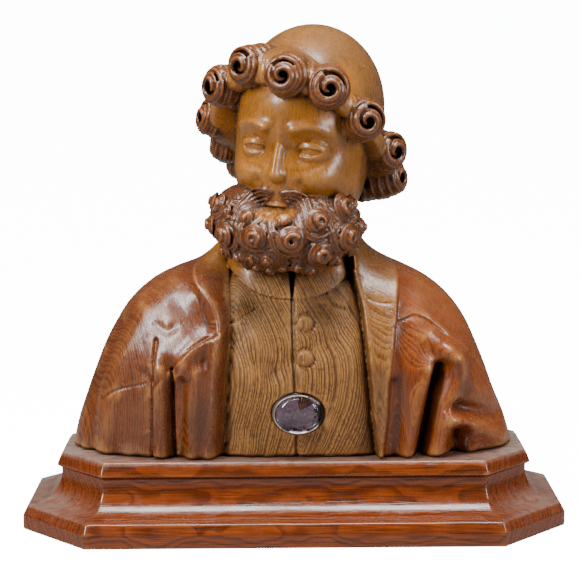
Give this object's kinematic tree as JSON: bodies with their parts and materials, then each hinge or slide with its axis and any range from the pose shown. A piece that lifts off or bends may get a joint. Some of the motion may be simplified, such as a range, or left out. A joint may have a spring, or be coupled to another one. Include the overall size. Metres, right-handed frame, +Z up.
{
  "type": "carved wooden reliquary bust",
  "caption": "Carved oak bust of a bearded, curly-haired saint with an oval crystal in a metal collet on the chest, resting on a canted, cove-moulded wooden plinth.",
  "frame": {"origin": "centre of the plinth's flat underside", "axes": "+Z up, the front of the bust faces -Y, +X is the viewer's right and runs along the plinth's length"},
  "size_m": [0.46, 0.2059, 0.4213],
  "materials": {
    "carved_oak": "waxed, worn and dusty in the recesses",
    "rock_crystal": "polished",
    "collet_silver": "aged silver, rubbed bright at the rim",
    "plinth_wood": "stained and polished"
  },
  "bodies": {
    "root": {"bust": "carved_oak", "crystal": "rock_crystal", "collet": "collet_silver", "plinth": "plinth_wood"}
  },
  "joints": []
}
